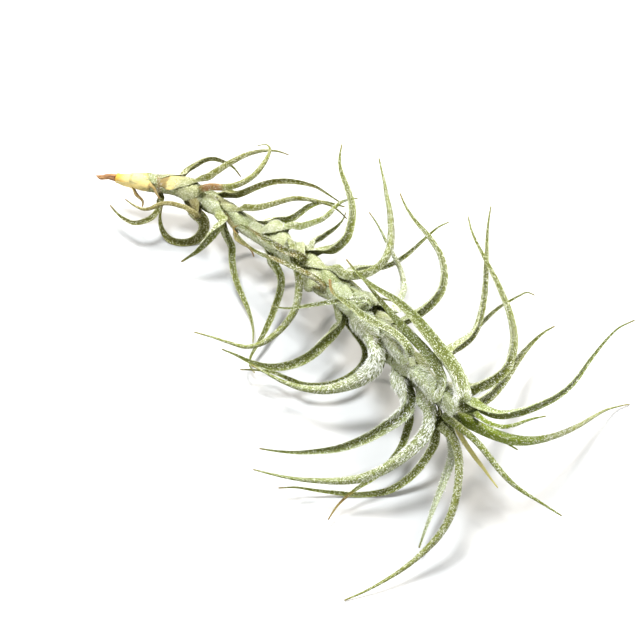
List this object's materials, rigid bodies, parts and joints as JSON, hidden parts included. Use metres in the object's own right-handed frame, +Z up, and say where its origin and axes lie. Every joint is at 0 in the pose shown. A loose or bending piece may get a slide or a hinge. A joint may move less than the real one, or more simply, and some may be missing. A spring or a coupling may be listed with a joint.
{
  "type": "air plant",
  "caption": "Air plant lying on its side: a leafy stem with narrow, channelled, silver-green leaves that clasp it and curl outwards, and a bare woody foot.",
  "frame": {"origin": "on the table, under the middle of the plant's bounding box", "axes": "+Z up from the table, +X to the right as seen in the picture, -Y towards the picture's camera; the stem runs from its foot at -X +Y to its growing end at +X -Y"},
  "size_m": [0.1882, 0.1758, 0.0546],
  "materials": {
    "leaf_dead": "matt",
    "leaf_old": "matt",
    "leaf_green": "matt",
    "leaf_felted": "matt, covered with white scales",
    "stem": "matt",
    "root": "matt"
  },
  "bodies": {
    "root": {"leaf_01": "leaf_dead", "leaf_02": "leaf_dead", "leaf_03": "leaf_old", "leaf_04": "leaf_old", "leaf_05": "leaf_old", "leaf_06": "leaf_old", "leaf_07": "leaf_old", "leaf_08": "leaf_dead", "leaf_09": "leaf_old", "leaf_10": "leaf_old", "leaf_11": "leaf_green", "leaf_12": "leaf_green", "leaf_13": "leaf_old", "leaf_14": "leaf_dead", "leaf_15": "leaf_green", "leaf_16": "leaf_green", "leaf_17": "leaf_green", "leaf_18": "leaf_green", "leaf_19": "leaf_green", "leaf_20": "leaf_green", "leaf_21": "leaf_green", "leaf_22": "leaf_green", "leaf_23": "leaf_green", "leaf_24": "leaf_green", "leaf_25": "leaf_green", "leaf_26": "leaf_green", "leaf_27": "leaf_green", "leaf_28": "leaf_green", "leaf_29": "leaf_green", "leaf_30": "leaf_felted", "leaf_31": "leaf_felted", "leaf_32": "leaf_felted", "leaf_33": "leaf_green", "leaf_34": "leaf_felted", "leaf_35": "leaf_green", "leaf_36": "leaf_felted", "leaf_37": "leaf_green", "leaf_38": "leaf_green", "leaf_39": "leaf_green", "leaf_40": "leaf_felted", "leaf_41": "leaf_felted", "leaf_42": "leaf_green", "leaf_43": "leaf_green", "leaf_44": "leaf_green", "leaf_45": "leaf_felted", "leaf_46": "leaf_felted", "leaf_47": "leaf_green", "leaf_48": "leaf_green", "leaf_49": "leaf_dead", "leaf_50": "leaf_felted", "leaf_51": "leaf_green", "leaf_52": "leaf_green", "leaf_53": "leaf_green", "leaf_54": "leaf_green", "stem": "stem", "root": "root"}
  },
  "joints": []
}
